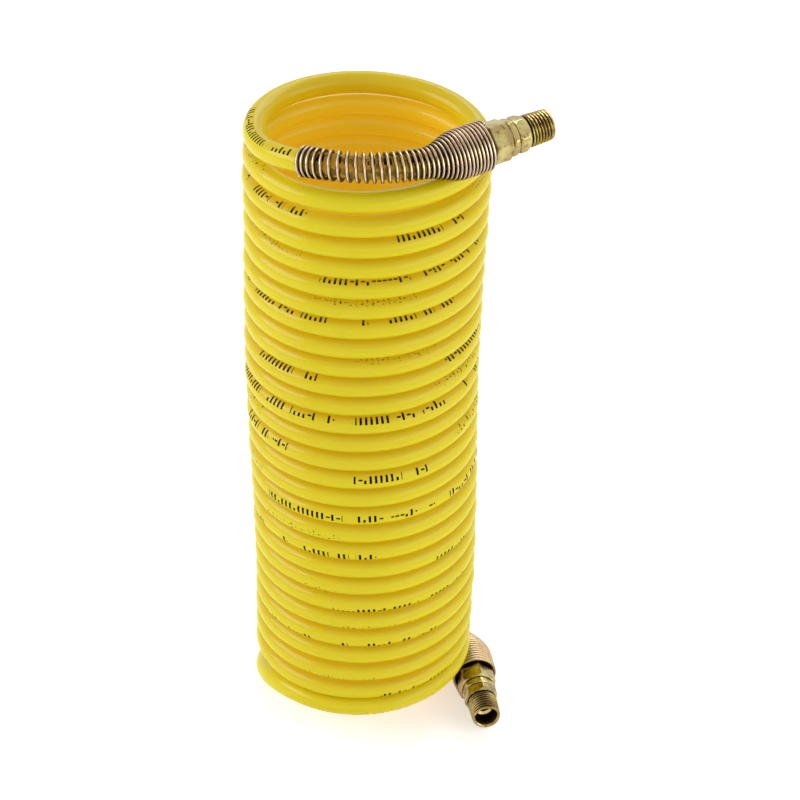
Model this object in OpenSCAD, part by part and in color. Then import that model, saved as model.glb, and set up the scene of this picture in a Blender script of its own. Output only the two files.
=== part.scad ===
// Coiled self-storing air hose, standing on end as one closed coil, with the same swivel
// fitting and spring guard at each end. Right-handed coil about +Z, floor at z = 0.
// At each end w is the distance along the hose: 0 at the guard's bell mouth, outwards positive.

/* [Hose] */
// Outside diameter of the hose
hose_od = 9.2; // [9:0.1:9.2]
// Bore of the hose
hose_id = 6.4; // [6.4:0.05:6.5]

/* [Coil] */
// Outside diameter of the coil
coil_od = 100; // [98:0.5:102]
// Rise of the closed coil in one turn
coil_pitch = 9.65; // [9.65:0.05:9.8]
// Height of the closed coil's underside above the floor, at the front
stand_off = 18.5; // [18.5:0.5:21]

/* [Ends of the hose] */
// Radius of the wider curve on which each end leaves the coil
lead_r = 57.4; // [56:0.2:58]
// Straight length in front of the upper bell mouth
upper_straight = 20.5; // [20:0.5:22]
// Straight length in front of the lower bell mouth
lower_straight = 11.8; // [11.4:0.2:13]
// Height of the upper end's level curve above the closed coil
upper_lift = 6.3; // [6:0.1:8]
// Upward tilt of the upper fitting, in degrees
upper_tilt = 4; // [1:0.5:5]
// Downward tilt of the lower fitting, in degrees
lower_dip = 0; // [0:0.5:2]

/* [Spring guard] */
// Diameter of the guard's wire
wire_d = 1.3; // [1.25:0.05:1.3]
// Outside diameter of the guard where it hugs the hose
guard_od = 12.4; // [12.4:0.1:12.8]
// Outside diameter of the guard's bell
bell_od = 20.8; // [20.8:0.1:21]
// Wire spacing of the open curls
open_pitch = 3.35; // [3.2:0.05:3.4]
// Wire spacing of the bell's curls
bell_pitch = 2.04; // [2.02:0.01:2.06]

/* [Fitting] */
// Clamp nut across flats
nut_af = 15.5; // [15.2:0.1:15.5]
// Collar of the body across flats
collar_af = 14.3; // [13.8:0.1:14.5]
// Hexagon of the swivel tail across flats
tail_af = 13.8; // [13.6:0.1:14.3]
// Diameter over the pipe thread
thread_d = 13.4; // [13.2:0.1:13.7]
// Length of the pipe thread
thread_l = 11.4; // [10.5:0.1:12]
// Bore of the swivel tail behind its mouth
mouth_bore = 9.3; // [9.2:0.1:9.8]

/* [Hidden] */

$fn = 48;
UP = [0, 0, 1];
UPPER = 0;
LOWER = 1;

// The closed coil. Angles grow upwards; -90 is the front, and 0 the right-hand side.
coil_r = (coil_od - hose_od) / 2;
coil_axis = [-13.1, 0, 0];
front_z = stand_off + coil_pitch / 2;
rings_per_turn = 14;
coil_sides = 6;
coil_steps = 390;
coil_step = 360 / rings_per_turn;
coil_from = -118;
coil_to = coil_from + coil_steps * coil_step;

// The ends of the hose: angle where each wider curve starts, and which way it runs
upper_start = 9980;
lower_start = -300;
way = [1, -1];
start_angle = [upper_start, lower_start];
lead_turn = [40, 50];
straight = [upper_straight, lower_straight];
tilt = [upper_tilt, -lower_dip];
bend_r = 100;
lead_sides = 8;

// Heights of the hose's centre line at the ends; it lies on the floor between two angles
flat_cut = hose_od / 10;
rim_cut = 0.3;
floor_z = hose_od / 2 - flat_cut;
floor_from = -198;
floor_to = -235;
sag_power = 1.3;
upper_z = front_z + coil_pitch * (upper_start + 90) / 360 + upper_lift;
dip = bend_r * (1 - cos(lower_dip)) + (lower_straight - bend_l(LOWER)) * sin(lower_dip);
level_z = [upper_z, bell_od / 2 * cos(lower_dip) - rim_cut + dip];

// Fitting lengths along w
hose_in = 5;
stem_from = -10;
nut_from = -11;
nut_to = 8.3;
collar_to = 11.7;
tail_from = 12;
hex_l = 5.1;
tail_to = tail_from + hex_l + thread_l;
neck_to = tail_from + 7.9;

// Fitting radii
stem_r = hose_id / 2 - 0.05;
air_r = 2.4;
boss_r = 6.3;
spigot_r = 3.9;
flare_r = 4.3;
running_gap = 0.05;
corner_cut = 0.96;
nut_angle = [16, 51];

// Guard: curls of each kind, wire steps in a curl, and where it flares
end_curls = 1;
open_curls = 12;
closing_curls = 6;
bell_curls = 12;
curls = end_curls + open_curls + closing_curls + bell_curls;
end_pitch = 2.2;
wire_step = 45;
wire_sides = 3;
flare_from = -29;
flare_to = -12.5;
rim_angle = [0, 112];

// The lower wire's cut end, bent out from the rim to stand on the floor
foot_angle = 149;
foot_w = 3.4;
foot_r = (level_z[LOWER] - wire_d / 2 + 0.1) / -cos(foot_angle);

function smooth(t) = let (u = max(0, min(1, t))) u * u * (3 - 2 * u);
function mix(a, b, t) = a + (b - a) * t;
function unit(v) = v / norm(v);
function round_xy(r, a) = [r * cos(a), r * sin(a), 0];
function helix_z(a) = front_z + coil_pitch * (a + 90) / 360;

// Height of the centre line at each angle of the coil's circle, the ends included
function upper_end_z(a) = mix(helix_z(a), upper_z, smooth((a - coil_to) / (upper_start - coil_to)));
function lower_end_z(a) =
    a > floor_from ? mix(helix_z(a), floor_z, smooth(pow(sag_part(a), sag_power)))
    : mix(floor_z, level_z[LOWER], smooth((floor_to - a) / (floor_to - lower_start)));
function sag_part(a) = max(0, (coil_from - a) / (coil_from - floor_from));

// Length of the wider curve and of the small upward or downward bend that follows it
function curve_l(end) = lead_r * lead_turn[end] * PI / 180;
function bend_l(end) = bend_r * abs(tilt[end]) * PI / 180;

// Plan angle of the straight part, and its direction before and after the small bend
function out_angle(end) = start_angle[end] + way[end] * lead_turn[end];
function out_dir(end) = way[end] * round_xy(1, out_angle(end) + 90);
function axis_dir(end) = cos(tilt[end]) * out_dir(end) + sin(tilt[end]) * UP;

// A point of an end's centre line at w: coil's circle, wider curve, small bend, straight
function circle_point(end, a) =
    coil_axis + round_xy(coil_r, a) + UP * (end == UPPER ? upper_end_z(a) : lower_end_z(a));
function curve_point(end, turned) =
    coil_axis + round_xy(coil_r - lead_r, start_angle[end])
    + round_xy(lead_r, start_angle[end] + way[end] * turned) + UP * level_z[end];
function bend_point(end, turned) =
    curve_point(end, lead_turn[end])
    + bend_r * (sin(turned) * out_dir(end) + sign(tilt[end]) * (1 - cos(turned)) * UP);
function mouth(end) =
    bend_point(end, abs(tilt[end])) + (straight[end] - bend_l(end)) * axis_dir(end);
function lead_point(end, w) =
    let (s = w + straight[end])
    s >= bend_l(end) ? mouth(end) + w * axis_dir(end)
    : s >= 0 ? bend_point(end, s / bend_r * 180 / PI)
    : s >= -curve_l(end) ? curve_point(end, (s + curve_l(end)) / lead_r * 180 / PI)
    : circle_point(end, start_angle[end] + way[end] * (s + curve_l(end)) / coil_r * 180 / PI);
function coil_point(a) = coil_axis + round_xy(coil_r, a) + UP * helix_z(a);

// w at which each end meets the closed coil
function lead_from(end) =
    -straight[end] - curve_l(end)
    - abs(start_angle[end] - (end == UPPER ? coil_to : coil_from)) * PI / 180 * coil_r;

// Ring of a tube: its centre, the direction it faces and a vector that its first corner follows
function ring(centre, facing, first, r, sides) =
    let (f = unit(facing), u = unit(first - (first * f) * f), v = cross(f, u))
    [for (i = [0:sides - 1]) centre + r * (cos(360 * i / sides) * u + sin(360 * i / sides) * v)];

// Skin of a tube through rings of the same number of points, with flat ends
module skin(rings) {
    n = len(rings[0]);
    last = len(rings) - 1;
    points = [for (one = rings) for (p = one) p];
    walls = [
        for (k = [0:last - 1]) for (i = [0:n - 1])
            let (a = k * n + i, b = k * n + (i + 1) % n)
            each [[a, b, a + n], [b, b + n, a + n]]
    ];
    ends = [
        for (i = [1:n - 2]) each [[0, i + 1, i], [last * n, last * n + i, last * n + i + 1]]
    ];
    polyhedron(points = points, faces = [for (f = concat(walls, ends)) [f[0], f[2], f[1]]]);
}

// Least distance between the walls of a tube's neighbouring turns, over its centre points
function least_gap(points, d, near, far) =
    min([for (i = [0:len(points) - 1 - near]) for (j = [near:far])
        if (i + j < len(points)) norm(points[i + j] - points[i])]) - d;

// Centre points of the closed coil
coil_points = [for (k = [0:coil_steps]) coil_point(coil_from + k * coil_step)];

module hose_coil() {
    climb = UP * coil_pitch / 360;
    color("gold")
    skin([for (k = [0:coil_steps])
        let (a = coil_from + k * coil_step)
        ring(coil_points[k], round_xy(PI / 180 * coil_r, a + 90) + climb, UP, hose_od / 2, coil_sides)]);
    echo(least_gap_of_coil = least_gap(coil_points, hose_od, rings_per_turn - 1, rings_per_turn + 1));
}

// Hose from the closed coil to its end inside the fitting, bored where the stem goes in
module hose_lead(end) {
    from = lead_from(end);
    steps = end == UPPER ? 11 : 26;
    bent = [for (k = [0:steps]) from + k * (nut_from - from) / steps];
    places = concat(bent, [hose_in]);
    color("gold")
    difference() {
        skin([for (w = places)
            let (p = lead_point(end, w), ahead = lead_point(end, w + 0.01) - lead_point(end, w - 0.01))
            ring(p, w == from ? end_facing(end) : ahead, UP, hose_od / 2, lead_sides)]);
        at_end(end) translate([0, 0, stem_from - 1]) cylinder(h = hose_in - stem_from + 2, d = hose_id);
        translate([0, 0, -hose_od / 2]) cube([3 * coil_od, 3 * coil_od, hose_od], center = true);
    }
}

// Direction of the closed coil where an end leaves it, towards the fitting
function end_facing(end) =
    let (a = end == UPPER ? coil_to : coil_from)
    way[end] * (round_xy(PI / 180 * coil_r, a + 90) + UP * coil_pitch / 360);

// Fitting axis: local Z points outwards from the bell mouth, and local -X is up
module at_end(end) {
    translate(mouth(end))
    rotate([0, 90 - tilt[end], out_angle(end) + way[end] * 90])
    children();
}

// Spacing of the wire at curl n, its centre radius at w, and its angle steps
function wire_pitch(n) =
    n < end_curls ? end_pitch
    : mix(open_pitch, bell_pitch, smooth((n - end_curls - open_curls) / closing_curls));
function wire_r(w) =
    mix(guard_od, bell_od, smooth((w - flare_from) / (flare_to - flare_from))) / 2 - wire_d / 2;
guard_l =
    end_curls * end_pitch + open_curls * open_pitch
    + closing_curls * (open_pitch + bell_pitch) / 2 + bell_curls * bell_pitch;

// Turned angle and place of each point of the wire, from the small end to the bell mouth
wire_places = [
    for (turned = 0, w = -guard_l;
         turned <= 360 * curls;
         w = w + wire_pitch((turned + wire_step / 2) / 360) * wire_step / 360,
         turned = turned + wire_step)
    [turned, w]
];

function wire_point(end, turned, w, r) =
    let (
        facing = unit(lead_point(end, w + 0.01) - lead_point(end, w - 0.01)),
        side = unit(cross(facing, UP)),
        top = cross(side, facing)
    )
    lead_point(end, w) + r * (cos(turned) * top + sin(turned) * side);

// Guard: one unbroken wire, flattened where its rim and its cut end stand on the floor
module spring_guard(end) {
    curl_w = [for (p = wire_places) min(p[1], 0) - wire_d / 2];
    curl_points = [for (k = [0:len(curl_w) - 1])
        wire_point(end, wire_places[k][0] + rim_angle[end], curl_w[k], wire_r(curl_w[k]))];
    foot = end == LOWER ? [wire_point(end, foot_angle, foot_w, foot_r)] : [];
    all_w = concat(curl_w, end == LOWER ? [foot_w] : []);
    points = concat(curl_points, foot);
    last = len(points) - 1;
    color("tan")
    skin([for (k = [0:last])
        let (
            ahead = points[min(k + 1, last)] - points[max(k - 1, 0)],
            centre = lead_point(end, all_w[k])
        )
        [for (p = ring(points[k], ahead, points[k] - centre, wire_d / 2, wire_sides))
            [p[0], p[1], max(p[2], 0)]]]);
    steps = 360 / wire_step;
    echo(least_gap_of_guard = least_gap(points, wire_d, steps - 1, steps + 1));
}

// Hexagonal bar with turned corners, from z = 0 up
module turned_hex(af, h) {
    corner = af / cos(30) / 2;
    intersection() {
        cylinder(h = h, r = corner, $fn = 6);
        rotate_extrude() polygon([
            [0, 0], [corner * corner_cut - 0.8, 0], [corner * corner_cut, 0.5],
            [corner * corner_cut, h - 0.5], [corner * corner_cut - 0.8, h], [0, h]
        ]);
    }
}

// Nut: rear bore for the hose, cone that presses the sleeve, thread for the body's boss
module clamp_nut(end) {
    color("darkkhaki")
    at_end(end) difference() {
        translate([0, 0, nut_from]) rotate(nut_angle[end]) turned_hex(nut_af, nut_to - nut_from);
        rotate_extrude() polygon([
            [0, nut_from - 1], [hose_od / 2 + 1.2, nut_from - 1], [hose_od / 2 + 1.2, nut_from],
            [hose_od / 2 + 0.15, nut_from + 1.2], [hose_od / 2 + 0.15, -3.2], [5.7, -2.2],
            [5.7, 0.9], [boss_r + running_gap, 0.9], [boss_r + running_gap, nut_to + 1], [0, nut_to + 1]
        ]);
    }
}

// Sleeve: short barrel round the hose, coned at both ends
module clamp_sleeve(end) {
    inner = hose_od / 2 + 0.02;
    color("goldenrod")
    at_end(end) rotate_extrude() polygon([
        [inner, -2.8], [inner + 0.15, -2.8], [5.6, -2], [5.6, 0.3], [inner + 0.2, 2.2], [inner, 2.2]
    ]);
}

// Body: barbed stem in the hose, threaded boss in the nut, hexagonal collar, swivel spigot
module fitting_body(end) {
    barb = 2.5;
    socket_r = hose_od / 2 + 0.05;
    groove_at = tail_from + 3;
    groove_to = groove_at + 1.4;
    groove_r = 2.95;
    color("darkkhaki")
    at_end(end) difference() {
        union() {
            rotate_extrude() polygon(concat(
                [[air_r, stem_from], [stem_r - 0.3, stem_from]],
                [for (k = [0:4]) each [[stem_r, stem_from + barb * (k + 0.9)],
                                       [stem_r - 0.25, stem_from + barb * (k + 1)]]],
                [[stem_r - 0.25, hose_in + 0.1], [socket_r, hose_in + 0.1], [socket_r, 2.5],
                 [5.5, 1.4], [boss_r - 0.3, 1.4], [boss_r, 1.7],
                 [boss_r, nut_to - 1], [boss_r - 0.4, nut_to - 0.6], [boss_r - 0.4, nut_to + 0.1],
                 [air_r, nut_to + 0.1]]
            ));
            translate([0, 0, nut_to + 0.1])
            rotate(nut_angle[end])
            turned_hex(collar_af, collar_to - nut_to - 0.1);
            rotate_extrude() polygon([
                [air_r, collar_to - 0.5], [spigot_r, collar_to - 0.5], [spigot_r, groove_at],
                [groove_r, groove_at], [groove_r, groove_to], [spigot_r, groove_to],
                [spigot_r, neck_to + 0.3], [flare_r, neck_to + 0.8], [flare_r, neck_to + 1.3],
                [flare_r - 0.7, neck_to + 1.3], [air_r, neck_to - 0.4]
            ]);
        }
        translate([0, 0, nut_to - 1]) cylinder(h = collar_to - nut_to + 1.5, r = air_r);
    }
}

module swivel_o_ring(end) {
    section = 0.48;
    color("black")
    at_end(end)
    translate([0, 0, tail_from + 3.7])
    rotate_extrude() translate([3.45, 0]) circle(r = section, $fn = 24);
}

// Swivel tail: hexagon, pipe thread on its outside, neck that runs on the spigot, open mouth
module swivel_tail(end) {
    hex_to = tail_from + hex_l;
    r = thread_d / 2;
    color("darkkhaki")
    at_end(end) difference() {
        union() {
            intersection() {
                translate([0, 0, tail_from])
                rotate(nut_angle[end])
                cylinder(h = hex_l, r = tail_af / cos(30) / 2, $fn = 6);
                rotate_extrude() polygon([
                    [0, tail_from], [tail_af / 2 - 0.1, tail_from], [tail_af / 2 + 0.9, tail_from + 0.5],
                    [tail_af / 2 + 0.9, hex_to - 1.2], [tail_af / 2 - 0.1, hex_to], [0, hex_to]
                ]);
            }
            rotate_extrude() polygon([
                [0, hex_to - 0.5], [r - 0.7, hex_to - 0.5], [r - 0.7, hex_to + 0.7], [r, hex_to + 1.2],
                [r, tail_to - 0.9], [r - 0.8, tail_to], [0, tail_to]
            ]);
        }
        rotate_extrude() polygon([
            [0, tail_from - 1], [spigot_r + running_gap, tail_from - 1], [spigot_r + running_gap, neck_to],
            [mouth_bore / 2, neck_to], [mouth_bore / 2, tail_to - 0.5], [mouth_bore / 2 + 0.5, tail_to],
            [mouth_bore / 2 + 0.5, tail_to + 1], [0, tail_to + 1]
        ]);
    }
}

module upper_hose_lead() hose_lead(UPPER);
module lower_hose_lead() hose_lead(LOWER);
module upper_spring_guard() spring_guard(UPPER);
module lower_spring_guard() spring_guard(LOWER);
module upper_clamp_nut() clamp_nut(UPPER);
module lower_clamp_nut() clamp_nut(LOWER);
module upper_clamp_sleeve() clamp_sleeve(UPPER);
module lower_clamp_sleeve() clamp_sleeve(LOWER);
module upper_fitting_body() fitting_body(UPPER);
module lower_fitting_body() fitting_body(LOWER);
module upper_swivel_o_ring() swivel_o_ring(UPPER);
module lower_swivel_o_ring() swivel_o_ring(LOWER);
module upper_swivel_tail() swivel_tail(UPPER);
module lower_swivel_tail() swivel_tail(LOWER);

hose_coil();
upper_hose_lead();
lower_hose_lead();
upper_spring_guard();
lower_spring_guard();
upper_clamp_nut();
lower_clamp_nut();
upper_clamp_sleeve();
lower_clamp_sleeve();
upper_fitting_body();
lower_fitting_body();
upper_swivel_o_ring();
lower_swivel_o_ring();
upper_swivel_tail();
lower_swivel_tail();
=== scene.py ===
import bpy
import numpy as np
from mathutils import Matrix


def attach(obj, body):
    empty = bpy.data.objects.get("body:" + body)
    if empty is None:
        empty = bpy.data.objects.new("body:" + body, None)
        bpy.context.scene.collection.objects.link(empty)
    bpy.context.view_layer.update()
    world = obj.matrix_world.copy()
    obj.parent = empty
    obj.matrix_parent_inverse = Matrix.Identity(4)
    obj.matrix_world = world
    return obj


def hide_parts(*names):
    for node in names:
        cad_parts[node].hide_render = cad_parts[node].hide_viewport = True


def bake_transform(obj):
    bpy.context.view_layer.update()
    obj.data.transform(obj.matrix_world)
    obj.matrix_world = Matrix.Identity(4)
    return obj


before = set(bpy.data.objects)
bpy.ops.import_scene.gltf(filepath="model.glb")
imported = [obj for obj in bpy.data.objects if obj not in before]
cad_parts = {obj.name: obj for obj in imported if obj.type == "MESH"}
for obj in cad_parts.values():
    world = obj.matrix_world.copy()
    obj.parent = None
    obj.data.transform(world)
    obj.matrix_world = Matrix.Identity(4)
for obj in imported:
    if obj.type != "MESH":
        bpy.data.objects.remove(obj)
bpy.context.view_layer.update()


# Camera: a long lens a little over a metre away, looking down at the standing coil from the
# front. It leans a touch to one side, so the coil stands slightly off upright in the frame.
mm = 0.001
camera_place = (2.6 * mm, -904.8 * mm, 782.4 * mm)
looks_down = np.radians(34.6)
leans = np.radians(0.865)
camera_data = bpy.data.cameras.new("studio_camera")
camera_data.sensor_width = 36
camera_data.lens = 113.07
camera_data.clip_end = 20
camera = bpy.data.objects.new("studio_camera", camera_data)
bpy.context.collection.objects.link(camera)
camera.matrix_world = (
    Matrix.Translation(camera_place)
    @ Matrix.Rotation(np.pi / 2 - looks_down, 4, "X")
    @ Matrix.Rotation(leans, 4, "Z")
)
bpy.context.scene.camera = camera


# Hose: one nylon tube, 9.4 mm outside, wound right-handed into a closed coil that stands on
# end. Both ends leave the coil on a wider curve, the lower one by way of the floor. It is
# swept along its centre line.
up = np.array([0.0, 0.0, 1.0])
hose_d = 9.4 * mm
hose_sides = 20
coil_axis = np.array([-13.1, 0.0, 0.0]) * mm
coil_radius = 45.4 * mm
coil_pitch = 9.65 * mm
coil_turns = 390 / 14
front_height = 23.325 * mm

# Angles go round the coil's axis in degrees, turn after turn. 0 is on the right, -90 in front.
coil_from = -118.0
coil_to = coil_from + coil_turns * 360

# The lowest turns have settled, more so on the left, and the top one has sprung up.
settled = 1.1 * mm
leaning = 1.6 * mm
settled_over = 1260.0
sprung = 1.1 * mm
sprung_before = 215.0
sprung_over = 90.0

# The coil widens towards its top, with small waves (height, radians over the whole coil). At
# both ends it eases back to its own circle over regular_over degrees.
regular_over = 400.0
wider_by = 0.5 * mm
taper = 0.9 * mm
waves = [(0.12 * mm, 91), (0.1 * mm, 137)]
top_flare = 0.4 * mm
flare_starts = 0.85
flare_takes = 0.1

# It bows sideways, and its turns crowd and spread, each as a slow cosine along the coil.
bow = 0.9 * mm
bow_middle = 0.2
bow_span = 0.8
spread = 0.6 * mm
spread_middle = 0.38
spread_span = 0.96
spread_ends = 0.14

# The turn under the upper guard is pressed in, and bulges beside it. A window is where it
# begins, in degrees before the coil's top end, its ease in, where it stops, and its ease out.
tuck_window = (385, 50, 215, 50)
tuck_in = 1.2 * mm
tuck_up = 0.4 * mm
bulge_window = (230, 40, 110, 60)
bulge_out = 0.9 * mm

# At its start an end leaves the coil's circle, and goes on its way, up or down the helix, for a
# turn on a wider circle at its own level. Then it tilts and runs straight to the bell's mouth.
lead_radius = 57.4 * mm
small_bend = 100 * mm
ends = {
    "upper": {
        "start": 9980.0, "way": 1, "turn": 40.0, "tilt": 4.0,
        "straight": 20.5 * mm, "level": 299.557 * mm,
    },
    "lower": {
        "start": -300.0, "way": -1, "turn": 50.0, "tilt": 0.0,
        "straight": 11.8 * mm, "level": 10.1 * mm,
    },
}

# The lower one sags to the floor, lies on it from one angle to the other, and rises again.
floor_height = 3.68 * mm
floor_from = -205.0
floor_to = -235.0
sag_power = 1.3


def ease(t):
    """3t^2 - 2t^3 between 0 and 1, flat outside."""
    u = np.clip(t, 0, 1)
    return u * u * (3 - 2 * u)


def unit(v):
    """Vectors divided by their own lengths."""
    return v / np.linalg.norm(v, axis=-1, keepdims=True)


def round_axis(radius, degrees, height):
    """Points about the coil's axis: radius x (cos, sin) of the angle, at a height."""
    a = np.radians(degrees)
    flat = np.stack([radius * np.cos(a), radius * np.sin(a), height + 0 * a], axis=-1)
    return coil_axis + flat


def helix_height(degrees):
    """Height of the closed coil: one pitch a turn, from front_height at the front.

    Where the coil has settled it is lower by settled + leaning x (1 - cos) / 2 of the angle.
    """
    regular = front_height + coil_pitch * (degrees + 90) / 360
    regular = regular + sprung * ease((degrees - coil_to + sprung_before) / sprung_over)
    lower = settled + leaning * (0.5 - 0.5 * np.cos(np.radians(degrees)))
    return regular - lower * (1 - ease((degrees - coil_from) / settled_over))


def near_top(degrees, begins, ease_in, stops, ease_out):
    """1 between two places, in degrees before the coil's top end, and 0 outside, eased."""
    left = coil_to - degrees
    return ease((begins - left) / ease_in) * ease((left - stops) / ease_out)


def coil_line(degrees):
    """Centre line of the closed coil: a helix whose radius grows evenly from bottom to top.

    Two sines of the way up are added to the radius, a cosine to x and another to the height.
    All of these fade out at the coil's two ends, where the leads follow on. The two windows near
    the top take from the radius and add to it.
    """
    part = (degrees - coil_from) / (coil_to - coil_from)
    held = ease((degrees - coil_from) / regular_over) * ease((coil_to - degrees) / regular_over)
    wider = wider_by + taper * (2 * part - 1)
    for wave_height, radians in waves:
        wider = wider + wave_height * np.sin(part * radians)
    wider = (wider + top_flare * ease((part - flare_starts) / flare_takes)) * held
    tucked = near_top(degrees, *tuck_window)
    wider = wider - tuck_in * tucked + bulge_out * near_top(degrees, *bulge_window)
    rise = spread * np.cos(2 * np.pi * (part - spread_middle) / spread_span) * held
    rise = rise * ease((1 - part) / spread_ends) + tuck_up * tucked
    line = round_axis(coil_radius + wider, degrees, helix_height(degrees) + rise)
    line[..., 0] += bow * np.cos(2 * np.pi * (part - bow_middle) / bow_span) * held
    return line


def end_heading(name):
    """Level direction of an end's straight, along its circle's end, and its climb in radians."""
    end = ends[name]
    angle = np.radians(end["start"] + end["way"] * (end["turn"] + 90))
    return np.array([np.cos(angle), np.sin(angle), 0.0]), np.radians(end["tilt"])


def lead_line(name, w):
    """Centre line of one end at distances w past the guard's bell mouth.

    Going outwards it follows the coil's circle, a wider circle that touches it, a small bend
    upwards and a straight. On the coil's circle its height eases from the helix to the end's
    own level, and the lower end's comes down to the floor first.
    """
    end = ends[name]
    way = end["way"]
    level, tilt = end_heading(name)
    curve = lead_radius * np.radians(end["turn"])
    bend = small_bend * abs(tilt)
    s = np.atleast_1d(np.asarray(w, float)) + end["straight"]

    degrees = end["start"] + way * np.degrees((s + curve) / coil_radius)
    if name == "upper":
        left = (degrees - coil_to) / (end["start"] - coil_to)
        height = helix_height(degrees) + (end["level"] - helix_height(degrees)) * ease(left)
    else:
        sag = np.clip((coil_from - degrees) / (coil_from - floor_from), 0, 1) ** sag_power
        height = helix_height(degrees) + (floor_height - helix_height(degrees)) * ease(sag)
        rise = (floor_to - degrees) / (floor_to - end["start"])
        low = floor_height + (end["level"] - floor_height) * ease(rise)
        height = np.where(degrees > floor_from, height, low)
    on_coil = round_axis(coil_radius, degrees, height)

    turned_to = end["start"] + way * np.degrees(np.clip(s + curve, 0, curve) / lead_radius)
    offset = round_axis(coil_radius - lead_radius, end["start"], end["level"]) - coil_axis
    on_curve = round_axis(lead_radius, turned_to, 0.0) + offset

    t = np.clip(s, 0, bend)[:, None] / small_bend
    bent = small_bend * (np.sin(t) * level + np.sign(tilt) * (1 - np.cos(t)) * up)
    ahead = np.cos(tilt) * level + np.sin(tilt) * up
    on_straight = on_curve + bent + np.clip(s - bend, 0, None)[:, None] * ahead
    return np.where((s < -curve)[:, None], on_coil, on_straight)


def lead_length(name):
    """How far behind the bell mouth an end meets the closed coil."""
    end = ends[name]
    coil_end = coil_to if name == "upper" else coil_from
    on_coil = coil_radius * np.radians(abs(end["start"] - coil_end))
    return end["straight"] + lead_radius * np.radians(end["turn"]) + on_coil


def sweep(line, start_side, radius, sides):
    """Tube round a line: line + radius x (cos a x first + sin a x second), square to the line.

    Each ring starts on the side given, and what would sink into the floor is pressed flat on
    it. Returns the grid of points, ring by ring, and the length along the line at each ring.
    """
    tangent = unit(np.gradient(line, axis=0))
    first = unit(start_side - np.sum(start_side * tangent, axis=1, keepdims=True) * tangent)
    second = np.cross(first, tangent)
    a = np.arange(sides) * 2 * np.pi / sides
    rim = np.cos(a)[None, :, None] * first[:, None] + np.sin(a)[None, :, None] * second[:, None]
    grid = line[:, None] + radius * rim
    grid[..., 2] = np.maximum(grid[..., 2], 0)
    step = np.linalg.norm(np.diff(line, axis=0), axis=1)
    return grid, np.concatenate([[0.0], np.cumsum(step)])


def add_piece(name, grid, along, ring_shut=False, sharp=None):
    """Mesh of a grid of points whose columns close round, with a map of its surface.

    The map's X is the distance along and its Y goes from 0 to 1 round. The first and last rows
    are shut with flat faces, or joined to each other as a ring.
    """
    rows, columns = grid.shape[:2]
    last = rows if ring_shut else rows - 1
    i, j = np.meshgrid(np.arange(last), np.arange(columns), indexing="ij")
    i2, j2 = (i + 1) % rows, (j + 1) % columns
    corners = [i * columns + j, i2 * columns + j, i2 * columns + j2, i * columns + j2]
    faces = np.stack(corners, axis=-1).reshape(-1, 4).tolist()
    if not ring_shut:
        faces.append(list(range(columns)))
        faces.append(list(range(rows * columns - 1, (rows - 1) * columns - 1, -1)))
    mesh = bpy.data.meshes.new(name)
    mesh.from_pydata(grid.reshape(-1, 3).tolist(), [], faces)

    shut = np.append(along, along[-1] + np.linalg.norm(grid[-1, 0] - grid[0, 0]))
    u = np.stack([shut[i], shut[i + 1], shut[i + 1], shut[i]], axis=-1)
    v = np.stack([j, j, j + 1, j + 1], axis=-1) / columns
    uv = np.zeros((len(mesh.loops), 2))
    uv[: u.size] = np.stack([u.ravel(), v.ravel()], axis=-1)
    layer = mesh.uv_layers.new(name="UVMap")
    layer.data.foreach_set("uv", uv.astype(np.float32).ravel())

    mesh.shade_smooth()
    if sharp is not None:
        mesh.set_sharp_from_angle(angle=np.radians(sharp))
    piece = bpy.data.objects.new(name, mesh)
    bpy.context.collection.objects.link(piece)
    return piece


ring_step = 1.6 * mm
coil_rings = 2010
socket_depth = 5 * mm
lower_w = np.arange(socket_depth, -lead_length("lower"), -ring_step)
upper_w = np.arange(-lead_length("upper") + ring_step, socket_depth + ring_step / 2, ring_step)
coil_degrees = np.linspace(coil_from, coil_to, coil_rings)
hose_line = np.concatenate(
    [lead_line("lower", lower_w), coil_line(coil_degrees), lead_line("upper", upper_w)]
)
inner_side = np.cross(up, unit(np.gradient(hose_line, axis=0)))
hose_grid, hose_along = sweep(hose_line, inner_side, hose_d / 2, hose_sides)
hose_length = float(hose_along[-1])
hose = add_piece("hose", hose_grid, hose_along)

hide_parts("hose_coil", "upper_hose_lead", "lower_hose_lead")
coil_line(coil_from)
coil_line(coil_to)
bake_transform(hose)


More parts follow.
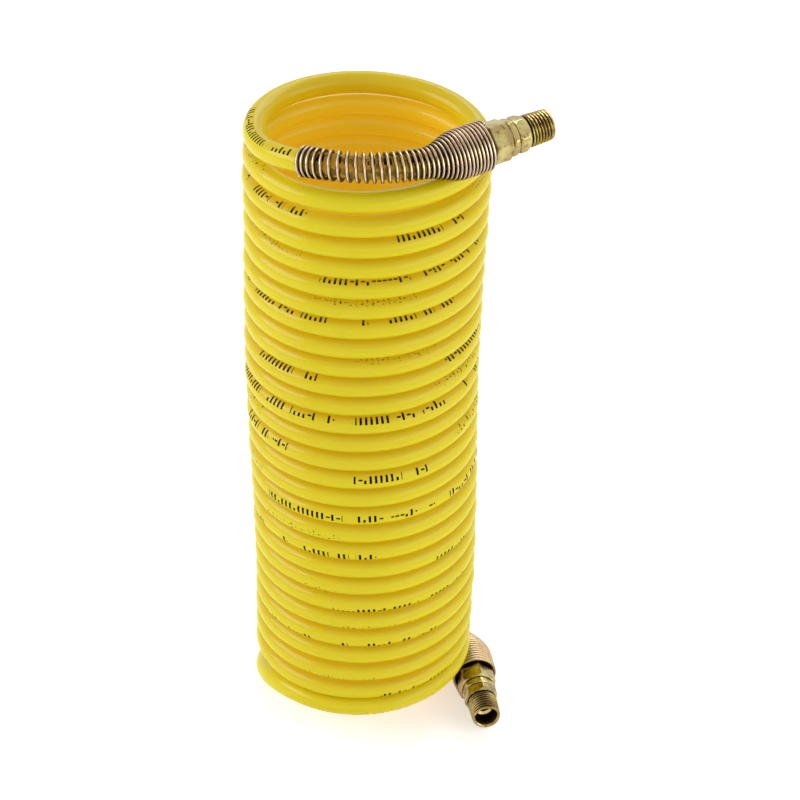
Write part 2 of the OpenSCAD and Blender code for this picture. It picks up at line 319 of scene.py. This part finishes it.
class Shade:
    """One output of a shader node. Sums and comparisons of these add Math nodes to its tree."""

    def __init__(self, tree, output):
        self.tree = tree
        self.output = output

    def node(self, kind, settings, inputs, output=0):
        """Adds a node: its settings come first, then the values or links of its sockets."""
        new = self.tree.nodes.new(kind)
        for name, value in settings.items():
            if name == "stops":
                while len(new.color_ramp.elements) < len(value):
                    new.color_ramp.elements.new(1.0)
                for element, (position, grey) in zip(new.color_ramp.elements, value):
                    element.position = position
                    element.color = (grey, grey, grey, 1)
            elif name == "interpolation":
                new.color_ramp.interpolation = value
            else:
                setattr(new, name, value)
        for name, value in inputs.items():
            if isinstance(value, Shade):
                self.tree.links.new(value.output, new.inputs[name])
            else:
                new.inputs[name].default_value = value
        return Shade(self.tree, new.outputs[output])

    def math(self, operation, other=0.0):
        """A sum on this value, or on this and another."""
        return self.node("ShaderNodeMath", {"operation": operation}, {0: self, 1: other})

    def mix(self, one, other):
        """One colour where this is 0 and the other where it is 1."""
        settings = {"data_type": "RGBA"}
        inputs = {"Factor": self, 6: one, 7: other}
        return self.node("ShaderNodeMix", settings, inputs, output=2)

    def noise(self, scale, detail):
        """Noise from 0 to 1 at this place."""
        inputs = {"Vector": self, "Scale": scale, "Detail": detail, "Roughness": 0.55}
        return self.node("ShaderNodeTexNoise", {}, inputs)

    def band(self, low, high):
        """Rises from 0 at low to 1 at high."""
        inputs = {"Value": self, "From Min": low, "From Max": high}
        return self.node("ShaderNodeMapRange", {"interpolation_type": "SMOOTHSTEP"}, inputs)

    def part(self, name):
        """One component of a vector."""
        return self.node("ShaderNodeSeparateXYZ", {}, {0: self}, output=name)

    def bump(self, strength, distance):
        """A surface roughened by this height."""
        inputs = {"Strength": strength, "Distance": distance, "Height": self}
        return self.node("ShaderNodeBump", {}, inputs)

    def feeds(self, shader, socket):
        """Links this to a socket of a shader."""
        self.tree.links.new(self.output, shader.inputs[socket])

    def __add__(self, other):
        return self.math("ADD", other)

    def __mul__(self, other):
        return self.math("MULTIPLY", other)

    def __sub__(self, other):
        return self.math("SUBTRACT", other)

    def __rsub__(self, other):
        return self.node("ShaderNodeMath", {"operation": "SUBTRACT"}, {0: other, 1: self})

    def __lt__(self, other):
        return self.math("LESS_THAN", other)

    def __gt__(self, other):
        return self.math("GREATER_THAN", other)

    __radd__ = __add__
    __rmul__ = __mul__


def new_finish(name, fixed):
    """A material with one Principled shader, whose fixed values sit on its own sockets.

    Returns the material, the shader, and the places on the object and on its own map.
    """
    material = bpy.data.materials.new(name)
    material.use_nodes = True
    tree = material.node_tree
    shader = tree.nodes["Principled BSDF"]
    for socket, value in fixed.items():
        shader.inputs[socket].default_value = value
    place = tree.nodes.new("ShaderNodeTexCoord")
    return material, shader, Shade(tree, place.outputs["Object"]), Shade(tree, place.outputs["UV"])


# Nylon: bright yellow all through, a little see-through, smooth and waxy. The inside of the
# coil is painted a deeper orange with a painted glow, for light through the walls, and the hose
# is painted darker under its spring guards, as shade, with dark blotches. On its map, X is in
# metres from the lower fitting to the upper one, and Y is 0.5 on the outside of the coil.
nylon_lemon = (0.70, 0.595, 0.004, 1)
shade_and_cloud_yellow = (0.62, 0.425, 0.010, 1)
glow_orange = (0.66, 0.44, 0.014, 1)
no_glow = (0, 0, 0, 1)
painted_glow = (0.26, 0.175, 0.006, 1)
guard_shade_brown = (0.80, 0.38, 0.03, 1)
dark_blotch = (0.05, 0.025, 0.008, 1)
ink = (0.006, 0.001, 0.0, 1)
clear_coat, coat_less_on_ink, coat_less_under_guard = 0.44, 0.36, 0.3
skin_roughness, rougher_on_lines, rougher_on_ink = 0.38, 0.1, 0.15
guarded = 80 * mm
guard_edge = 3 * mm
nylon, nylon_shader, nylon_place, nylon_map = new_finish("nylon", {
    "IOR": 1.5, "Specular IOR Level": 0.02, "Coat Roughness": 0.16,
    "Subsurface Weight": 0.5, "Subsurface Radius": (1.0, 0.62, 0.05), "Subsurface Scale": 0.005,
    "Emission Strength": 1.0,
})
along = nylon_map.part("X")
around = nylon_map.part("Y")

# Groups of plain black ticks and dashes, like those of a scale, run round the outside. Each mark
# has a cell of its own, in a run of cells that repeats. A group is its first cell, the cell past
# its last, and how well its print has lasted. Near the upper end one stretch is rubbed bare.
mark_cell = 2.11 * mm
mark_count = 332
mark_height = 0.115
marks_low, marks_climb, marks_stray = 0.38, 0.27, 0.05
climb_band = (1.5, 6.0)
tick_width, dash_width = 0.46, 0.75
long_above, short_above = 0.42, 0.2
rub_starts = (hose_length - 0.30, hose_length - 0.27)
rub_stops = (hose_length - 0.17, hose_length - 0.15)
fresh, faded = 1.0, 0.22
spared, worn_below = 0.35, 0.65
mark_groups = [
    (0, 1, fresh), (36, 52, faded), (110, 130, faded), (210, 218, fresh), (221, 224, fresh),
    (250, 266, fresh), (269, 274, fresh), (276, 281, fresh), (284, 285, fresh), (288, 295, fresh),
    (296, 300, fresh), (302, 307, fresh), (313, 314, fresh), (318, 323, fresh), (325, 327, fresh),
    (329, 332, fresh),
]
group_stops = []
for low, high, lasting in mark_groups:
    group_stops += [(low / mark_count, lasting), (high / mark_count, 0.0)]
cell = along * (1 / mark_cell)
run = (cell * (1 / mark_count)).math("FRACT")
ramp = {"interpolation": "CONSTANT", "stops": group_stops}
print_left = run.node("ShaderNodeValToRGB", ramp, {"Fac": run})
one_way = {"noise_dimensions": "1D"}
cell_number = {"W": cell.math("FLOOR")}
chance = cell.node("ShaderNodeTexWhiteNoise", one_way, cell_number, output="Color").part("X")
stray = along.node("ShaderNodeTexNoise", one_way, {"W": along, "Scale": 1.1})
line_at = marks_low + along.band(*climb_band) * marks_climb + stray * marks_stray
across = cell.math("FRACT")
rise = (around - line_at) * (1 / mark_height)
tick = across < tick_width
long_tick = tick * (chance > long_above)
short_tick = tick * (chance < long_above) * (chance > short_above) * (rise < 0.0)
dash = (across < dash_width) * (chance < short_above) * (rise > -0.1) * (rise < 0.14)
mark = long_tick.math("MAXIMUM", short_tick).math("MAXIMUM", dash)
in_line = (rise > -0.5) * (rise < 0.5)
rubbed = along.band(*rub_starts) * (1 - along.band(*rub_stops))
unworn = (nylon_place.noise(1300, 2) + print_left * spared - rubbed) > worn_below
printed = (print_left > 0.0) * mark * in_line * unworn

# Painted shade: the upper side of each turn, under the turn above, is painted a deeper yellow,
# so the lower side is the greener one; cloudy noise mixes in a little of the same yellow. Near
# the ends of the hose less of this shade and less of the painted orange are laid on.
lower_end_stops = (0.26, 0.34)
upper_end_starts = (hose_length - 0.5, hose_length - 0.34)
cloudy = nylon_place.noise(11, 3).band(0.3, 0.72)
inner = (around - 0.5).math("ABSOLUTE").band(0.13, 0.30)
upper_side = around.band(0.52, 0.70)
at_end = along.band(*upper_end_starts) + 1 - along.band(*lower_end_stops)
# Painted shade under the spring guards: the hose is mixed to a darker brown there, with dark
# blotches, and its coat is thinner.
under_guard = 1 - along.band(guarded - guard_edge, guarded + guard_edge)
upper_guard_at = hose_length - guarded
under_guard = under_guard + along.band(upper_guard_at, upper_guard_at + 2 * guard_edge)
# Painted shade on the upper side of each turn, mixed with cloudy tone.
plain = (upper_side * (0.8 - at_end * 0.6) + cloudy * 0.2).mix(nylon_lemon, shade_and_cloud_yellow)
# Painted glow colour: the inside of the coil is painted orange, less so near the ends.
plain = (inner * (1 - at_end * 0.7)).mix(plain, glow_orange)
blotch = nylon_place.noise(330, 3).band(0.47, 0.57) * 0.8
under_guard_shaded = (under_guard * 0.85).mix(plain, blotch.mix(guard_shade_brown, dark_blotch))
printed.mix(under_guard_shaded, ink).feeds(nylon_shader, "Base Color")
# Painted glow: the inside of the coil gives off light of its own, less so near the ends.
(inner * (1 - at_end * 0.8)).mix(no_glow, painted_glow).feeds(nylon_shader, "Emission Color")

# Faint lines from drawing the tube run along it, and its skin is slightly uneven.
stretched = {"Vector": nylon_map, "Scale": (6, 90, 1)}
drawn = nylon_map.node("ShaderNodeMapping", {"vector_type": "POINT"}, stretched).noise(1.0, 2)
coat = clear_coat - printed * coat_less_on_ink - under_guard * coat_less_under_guard
coat.feeds(nylon_shader, "Coat Weight")
roughness = drawn * rougher_on_lines + printed * rougher_on_ink + skin_roughness
roughness.feeds(nylon_shader, "Roughness")
(drawn + nylon_place.noise(60, 2) * 0.6).bump(0.08, 0.0002).feeds(nylon_shader, "Normal")
hose.data.materials.append(nylon)


# Spring guards: one wire each, 1.5 mm, zinc-plated spring steel with a gold and pink sheen. It
# hugs the hose in open curls, closes up and flares into a bell over the clamp nut. The wire
# follows the hose's centre line at a radius that grows. The lower one's cut end is a foot.
wire_d = 1.5 * mm
wire_sides = 12
guard_od = 12.7 * mm
bell_od = 20.8 * mm
flare_from = -29 * mm
flare_to = -12.5 * mm
points_a_curl = 44

# Degrees round the hose, from its top, to where the wire reaches the bell's rim.
rim_at = {"upper": 0.0, "lower": 112.0}

# Each stretch of the wire: how many curls it has, how many of them come after its pitch is
# reached, and that pitch. From one to the next the pitch changes evenly.
guard_stretches = [
    (1.0, 0.5, 1.7 * mm), (12.0, 6.0, 3.4 * mm), (5.0, 2.5, 2.5 * mm), (17.6, 15.0, 1.64 * mm),
]
foot_turn = 37.0
foot_points = 8
foot_w = 3.4 * mm
foot_radius = 10.9 * mm


def guard_wire(name):
    """Line of the wire: hose centre line + radius x (cos a x top + sin a x side).

    The angle a grows evenly, the pitch sets how far along the hose it has come, and the radius
    eases from the guard's to the bell's. The lower wire's foot goes on past the bell's mouth and
    a little wider. Returns the points and their outward directions.
    """
    curls, after, pitches = np.array(guard_stretches).T
    turn = np.arange(0, curls.sum() + 0.5 / points_a_curl, 1 / points_a_curl)
    pitch = np.interp(turn, np.cumsum(curls) - after, pitches)
    w = np.cumsum(pitch) / points_a_curl
    w = w - w[-1] - wire_d / 2
    radius = guard_od + (bell_od - guard_od) * ease((w - flare_from) / (flare_to - flare_from))
    radius = (radius - wire_d) / 2
    a = (turn - turn[-1]) * 2 * np.pi + np.radians(rim_at[name])
    if name == "lower":
        t = np.linspace(0, 1, foot_points + 1)[1:]
        a = np.append(a, a[-1] + np.radians(foot_turn) * t)
        w = np.append(w, w[-1] + (foot_w - w[-1]) * t**1.5)
        radius = np.append(radius, radius[-1] + (foot_radius - radius[-1]) * t**2)
    middle = lead_line(name, w)
    facing = unit(np.gradient(middle, axis=0))
    side = unit(np.cross(facing, up))
    top = np.cross(side, facing)
    outward = np.cos(a)[:, None] * top + np.sin(a)[:, None] * side
    return middle + radius[:, None] * outward, outward


# The plating has a painted highlight along the outside of each curl, and painted shade where
# one curl faces the next. The lower guard is warmer and has less painted shade: low_band is the
# heights where the lower look fades. from_crown goes from 0 along the outside of a curl to 0.5
# along its inside.
gold_sheen = (0.27, 0.175, 0.055, 1)
pink_sheen = (0.30, 0.18, 0.10, 1)
crown_highlight = (0.80, 0.68, 0.53, 1)
warm_gold = (0.66, 0.48, 0.25, 1)
curl_gap_shade = (0.018, 0.010, 0.006, 1)
low_band = (0.05, 0.1)
crown_band = (0.012, 0.055)
curl_shade_band = (0.10, 0.16)
plated, plated_shader, plated_place, plated_map = new_finish("plated_spring_wire", {
    "Metallic": 1.0, "IOR": 1.5, "Specular Tint": (1.0, 0.95, 0.9, 1),
})
from_crown = ((plated_map.part("Y") + 0.5).math("FRACT") - 0.5).math("ABSOLUTE")
crown = 1 - from_crown.band(*crown_band)
tint = plated_place.noise(75, 3).band(0.4, 0.6)
streak = plated_place.noise(260, 3).band(0.25, 0.5)
low_end = 1 - plated_place.part("Z").band(*low_band)
# Painted shade where one curl faces the next, lighter on the lower guard.
curl_shade = (from_crown + plated_place.noise(180, 3) * 0.14 - 0.07).band(*curl_shade_band)
curl_shade = curl_shade * (1 - low_end * 0.5)
# Painted highlight along each curl's crown, broken up by streaks.
sheen = (streak * crown).mix(tint.mix(gold_sheen, pink_sheen), crown_highlight)
sheen = (low_end * 0.55).mix(sheen, warm_gold)
curl_shade.mix(sheen, curl_gap_shade).feeds(plated_shader, "Base Color")
(plated_place.noise(300, 2) * 0.2 + 0.16).feeds(plated_shader, "Roughness")

for name, body in {"upper": "upper_end", "lower": "coil_and_lower_end"}.items():
    wire_line, wire_out = guard_wire(name)
    wire_grid, wire_along = sweep(wire_line, wire_out, wire_d / 2, wire_sides)
    guard = add_piece(f"{name}_guard_wire", wire_grid, wire_along)
    guard.data.materials.append(plated)
    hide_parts(f"{name}_spring_guard")
    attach(guard, body)


# Brass: machined from hexagonal bar, with a dull matt skin, and painted browner at the lower end
# as a darker reflection. The roots of the threads, the bore and the seams are painted dark as
# shade, marked by a value between 0 and 1 on each point of the mesh.
brass_pale = (0.58, 0.50, 0.19, 1)
brass_deep = (0.40, 0.29, 0.12, 1)
brass_brown = (0.16, 0.09, 0.02, 1)
brass_recess_shade = (0.060, 0.030, 0.009, 1)
brass, brass_shader, brass_place, _ = new_finish("brass", {"Metallic": 1.0, "IOR": 1.5})
seam = brass_place.node("ShaderNodeAttribute", {"attribute_name": "seam"}, {}, output="Fac")
patch = brass_place.noise(150, 4).band(0.35, 0.65)
stain = brass_place.noise(420, 3).band(0.55, 0.75)
# Painted darker reflection: the lower fitting is mixed towards brown, on top of the real stains.
low_dark_reflection = 1 - brass_place.part("Z").band(*low_band)
stain_and_low_dark = stain + low_dark_reflection * (0.15 + patch * 0.35)
skin = stain_and_low_dark.mix(patch.mix(brass_pale, brass_deep), brass_brown)
# Painted shade: the bore, the seams and the roots of the threads are mixed to near black.
seam.band(0.0, 0.6).mix(skin, brass_recess_shade).feeds(brass_shader, "Base Color")
(brass_place.noise(380, 3) * 0.16 + seam * 0.2 + 0.14).feeds(brass_shader, "Roughness")
brass_place.noise(900, 3).bump(0.25, 0.00008).feeds(brass_shader, "Normal")


# Fittings: clamp nut, body and swivel tail, turned from brass hexagon. Each is one closed
# profile carried round the fitting's axis, where a flat of the hexagon cuts in below the
# turned radius. The nut grips the hose, and the tail turns on the body's flared spigot. The
# sleeve inside the nut stays the frame's own, in the same brass.
# Painted dark reflection on the side of the thread that faces up, on the lower fitting only.
dark_reflection_by_end = {"upper": 0.0, "lower": 0.4}
round_columns = 144
thread_pitch = 1.411
thread_slope = 1.15
crease = 28

# Degrees round the fitting, from its underside, to a corner of its hexagons.
hex_corner_at = {"upper": 16.0, "lower": 51.0}


def turned(name, rows):
    """Closed profile carried round a fitting's axis: mouth + w x axis + radius x spoke.

    Each row is (w, radius, across flats, thread depth, painted shade, steps to the next row), in
    mm, with w from the bell's mouth. The radius at an angle is the smaller of the turned one and
    the flat's, apothem / cos(angle to the flat's middle), less the thread's wave, a clipped
    triangle that climbs one pitch a turn. The painted shade also rises in the thread's roots, and
    a painted dark reflection is added on the side of the lower thread that faces up.
    """
    rows = np.array(rows + rows[:1], float)
    profile = []
    for here, after in zip(rows[:-1], rows[1:]):
        part = np.linspace(0, 1, int(here[5]), endpoint=False)[:, None]
        profile.append(here[:5] + (after[:5] - here[:5]) * part)
    w, radius, flats, depth, dark = np.concatenate(profile).T[..., None]
    a = np.arange(round_columns)[None] * 2 * np.pi / round_columns
    to_middle = (a - np.pi / 6) - np.round((a - np.pi / 6) / (np.pi / 3)) * np.pi / 3
    r = np.minimum(radius, flats / 2 / np.cos(to_middle))
    phase = (w / thread_pitch - a / (2 * np.pi)) % 1
    wave = np.clip(thread_slope * np.abs(2 * phase - 1) - (thread_slope - 1) / 2, 0, 1)
    r = r - depth * wave

    level, tilt = end_heading(name)
    axis = np.cos(tilt) * level + np.sin(tilt) * up
    down = np.sin(tilt) * level - np.cos(tilt) * up
    a = a + np.radians(hex_corner_at[name])
    spoke = np.cos(a)[..., None] * down + np.sin(a)[..., None] * np.cross(axis, down)
    mouth = lead_line(name, 0.0)[0]
    grid = mouth + (w[..., None] * axis + r[..., None] * spoke) * mm
    edge = np.hypot(np.diff(w[:, 0]), np.diff(radius[:, 0]))
    # Painted dark reflection on the upward side of the lower thread.
    upward_dark_reflection = dark_reflection_by_end[name] * (depth > 0) * np.clip(spoke[..., 2], 0, 1) ** 3
    shade = np.maximum(dark, 0.5 * depth * wave + upward_dark_reflection)
    return grid, np.concatenate([[0.0], np.cumsum(edge)]) * mm, shade


# Across flats in mm. Where a row is plainly round, its flats are far outside.
plain_round = 99.0
nut_flats = 15.5
collar_flats = 14.3
tail_flats = 13.9
nut_rows = [
    # mouth of the nut, and its chamfer
    (8.3, 6.9, plain_round, 0, 0.9, 2),
    (8.3, 7.15, nut_flats, 0, 0.3, 4),
    (8.3, 7.75, nut_flats, 0, 0, 6),
    # hexagon, in the open and then inside the bell
    (7.3, 8.9, nut_flats, 0, 0, 4),
    (1.0, 8.9, nut_flats, 0, 0, 4),
    (-0.6, 8.9, nut_flats, 0, 0.8, 4),
    (-9.6, 8.9, nut_flats, 0, 0.9, 6),
    (-11.0, 7.2, nut_flats, 0, 0.9, 3),
    # hole for the hose, and the cone that presses the sleeve
    (-11.0, 5.8, plain_round, 0, 0.9, 2),
    (-9.8, 4.85, plain_round, 0, 0.9, 2),
    (-3.2, 4.85, plain_round, 0, 0.9, 2),
    (-2.2, 5.7, plain_round, 0, 0.9, 2),
    (0.9, 5.7, plain_round, 0, 0.9, 1),
    # threaded bore
    (0.9, 6.35, plain_round, 0, 0.9, 2),
    (8.2, 6.35, plain_round, 0, 0.9, 2),
]
body_rows = [
    # flared lip of the spigot, its outside and the O-ring's groove
    (21.3, 4.4, plain_round, 0, 0, 2),
    (21.0, 4.4, plain_round, 0, 0, 3),
    (20.3, 3.9, plain_round, 0, 0.9, 2),
    (16.4, 3.9, plain_round, 0, 1, 1),
    (16.4, 2.95, plain_round, 0, 1, 1),
    (15.0, 2.95, plain_round, 0, 1, 1),
    (15.0, 3.9, plain_round, 0, 1, 1),
    (11.7, 3.9, plain_round, 0, 1, 2),
    # hexagonal collar
    (11.7, 6.6, collar_flats, 0, 0.8, 4),
    (11.7, 7.0, collar_flats, 0, 0, 4),
    (10.9, 7.95, collar_flats, 0, 0, 3),
    (9.3, 7.95, collar_flats, 0, 0, 4),
    (8.4, 7.0, collar_flats, 0, 0.5, 2),
    # threaded barrel inside the nut, the cone that the sleeve seats in, and the hose's socket
    (8.4, 5.9, plain_round, 0, 1, 1),
    (7.7, 5.9, plain_round, 0, 1, 1),
    (7.3, 6.3, plain_round, 0, 1, 2),
    (1.7, 6.3, plain_round, 0, 1, 1),
    (1.4, 6.0, plain_round, 0, 1, 1),
    (1.4, 5.5, plain_round, 0, 1, 2),
    (2.5, 4.75, plain_round, 0, 1, 1),
    (5.1, 4.75, plain_round, 0, 1, 1),
    # stem inside the hose
    (5.1, 2.9, plain_round, 0, 1, 1),
    (-10.0, 2.85, plain_round, 0, 1, 1),
    # air way, and the cone at the lip
    (-10.0, 2.4, plain_round, 0, 1, 2),
    (18.6, 2.4, plain_round, 0, 1, 3),
    (19.4, 2.6, plain_round, 0, 0.6, 2),
    (20.7, 3.2, plain_round, 0, 0, 3),
]
tail_rows = [
    # mouth and taper thread
    (28.5, 6.1, plain_round, 0, 0, 3),
    (28.1, 6.45, plain_round, 0.2, 0, 4),
    (27.4, 6.55, plain_round, 1.1, 0, 90),
    (18.7, 6.85, plain_round, 1.1, 0, 4),
    (18.2, 6.75, plain_round, 0.2, 0.3, 3),
    (17.8, 5.9, plain_round, 0, 0.9, 2),
    (17.1, 5.9, plain_round, 0, 0.9, 3),
    # hexagon
    (17.1, 6.5, tail_flats, 0, 0.3, 3),
    (17.1, 6.85, tail_flats, 0, 0, 8),
    (15.5, 7.85, tail_flats, 0, 0, 4),
    (13.0, 7.85, tail_flats, 0, 0, 4),
    (12.0, 6.75, tail_flats, 0, 0.2, 2),
    (12.0, 6.5, plain_round, 0, 0.9, 2),
    # bore round the spigot, and the wider one for its lip and the air
    (12.0, 3.95, plain_round, 0, 1, 2),
    (19.9, 3.95, plain_round, 0, 1, 1),
    (19.9, 4.7, plain_round, 0, 0.9, 3),
    (22.4, 4.7, plain_round, 0, 0.6, 3),
    (26.4, 4.75, plain_round, 0, 0.5, 3),
    (27.8, 4.9, plain_round, 0, 0.3, 2),
    (28.2, 5.2, plain_round, 0, 0, 2),
    (28.5, 5.55, plain_round, 0, 0, 2),
]


def dress(node, material):
    """Gives a CAD node one material in place of its own."""
    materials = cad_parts[node].data.materials
    materials.clear()
    materials.append(material)


for name, carrier, turning in [
    ("upper", "upper_end", "upper_swivel"),
    ("lower", "coil_and_lower_end", "lower_swivel"),
]:
    for piece_name, rows, node, body in [
        ("brass_nut", nut_rows, "clamp_nut", carrier),
        ("brass_body", body_rows, "fitting_body", carrier),
        ("threaded_tail", tail_rows, "swivel_tail", turning),
    ]:
        grid, along_profile, shade = turned(name, rows)
        piece = add_piece(f"{name}_{piece_name}", grid, along_profile, ring_shut=True, sharp=crease)
        layer = piece.data.attributes.new("seam", "FLOAT", "POINT")
        layer.data.foreach_set("value", shade.astype(np.float32).ravel())
        piece.data.materials.append(brass)
        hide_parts(f"{name}_{node}")
        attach(piece, body)
    dress(f"{name}_clamp_sleeve", brass)


# Swivel seals: a black rubber O-ring in the groove of each spigot, hidden inside the tail. The
# rings stay the frame's own, with a slightly mottled rubber finish.
rubber_dark = (0.02, 0.02, 0.02, 1)
rubber_worn = (0.04, 0.04, 0.04, 1)
rubber, rubber_shader, rubber_place, _ = new_finish("seal_rubber", {"Specular IOR Level": 0.3})
rubber_place.noise(700, 2).mix(rubber_dark, rubber_worn).feeds(rubber_shader, "Base Color")
(rubber_place.noise(500, 2) * 0.2 + 0.5).feeds(rubber_shader, "Roughness")
for name in ends:
    dress(f"{name}_swivel_o_ring", rubber)


# Studio: a plain white floor that keeps the soft shadow, a white surround, and wide lamps. Both
# whites are brighter to the camera, and in what is mirrored or shines through, than as light.
floor_reach = 3.0
paper_glow = 0.46
surround_light = 0.42
surround_extra = 0.58


def looked_at(tree):
    """1 for the camera's rays and for mirrored and transmitted ones, 0 for all others."""
    rays = tree.nodes.new("ShaderNodeLightPath")
    seen = Shade(tree, rays.outputs["Is Camera Ray"])
    for kind in ["Is Glossy Ray", "Is Transmission Ray"]:
        seen = seen.math("MAXIMUM", Shade(tree, rays.outputs[kind]))
    return seen


floor_corners = np.array([(-1, -1, 0), (1, -1, 0), (1, 1, 0), (-1, 1, 0)]) * floor_reach
floor_mesh = bpy.data.meshes.new("studio_floor")
floor_mesh.from_pydata(floor_corners.tolist(), [], [(0, 1, 2, 3)])
floor = bpy.data.objects.new("studio_floor", floor_mesh)
bpy.context.collection.objects.link(floor)
paper, paper_shader, _, _ = new_finish("studio_paper", {
    "Base Color": (0.9, 0.9, 0.9, 1), "Roughness": 0.9, "Emission Color": (1, 1, 1, 1),
})
(looked_at(paper.node_tree) * paper_glow).feeds(paper_shader, "Emission Strength")
floor_mesh.materials.append(paper)

surround = bpy.data.worlds.new("studio_surround")
bpy.context.scene.world = surround
surround.use_nodes = True
bright = surround.node_tree.nodes["Background"]
bright.inputs["Color"].default_value = (1, 1, 1, 1)
(looked_at(surround.node_tree) * surround_extra + surround_light).feeds(bright, "Strength")

# Each lamp's place, width and height in metres, and its power in watts. All face the coil.
lamps = [
    ("left_lamp", (-1.36, -0.12, 0.78), 1.3, 0.75, 13.0),
    ("right_lamp", (1.4, -0.7, 0.5), 2.0, 1.2, 14.5),
    ("back_lamp", (0.5, 1.3, 1.3), 1.4, 0.8, 9.0),
    ("front_lamp", (0.0, -1.6, 0.35), 2.4, 0.6, 4.0),
]
lamps_aim = np.array([0.0, 0.0, 0.15])
for name, place, width, height, power in lamps:
    lamp_data = bpy.data.lights.new(name, "AREA")
    lamp_data.shape = "RECTANGLE"
    lamp_data.size = width
    lamp_data.size_y = height
    lamp_data.energy = power
    lamp = bpy.data.objects.new(name, lamp_data)
    bpy.context.collection.objects.link(lamp)
    away = np.array(place) - lamps_aim
    turn = np.arctan2(away[1], away[0]) + np.pi / 2
    lean = np.arctan2(np.hypot(away[0], away[1]), away[2])
    lamp.matrix_world = (
        Matrix.Translation(place) @ Matrix.Rotation(turn, 4, "Z") @ Matrix.Rotation(lean, 4, "X")
    )
bpy.context.scene.view_settings.view_transform = "Standard"
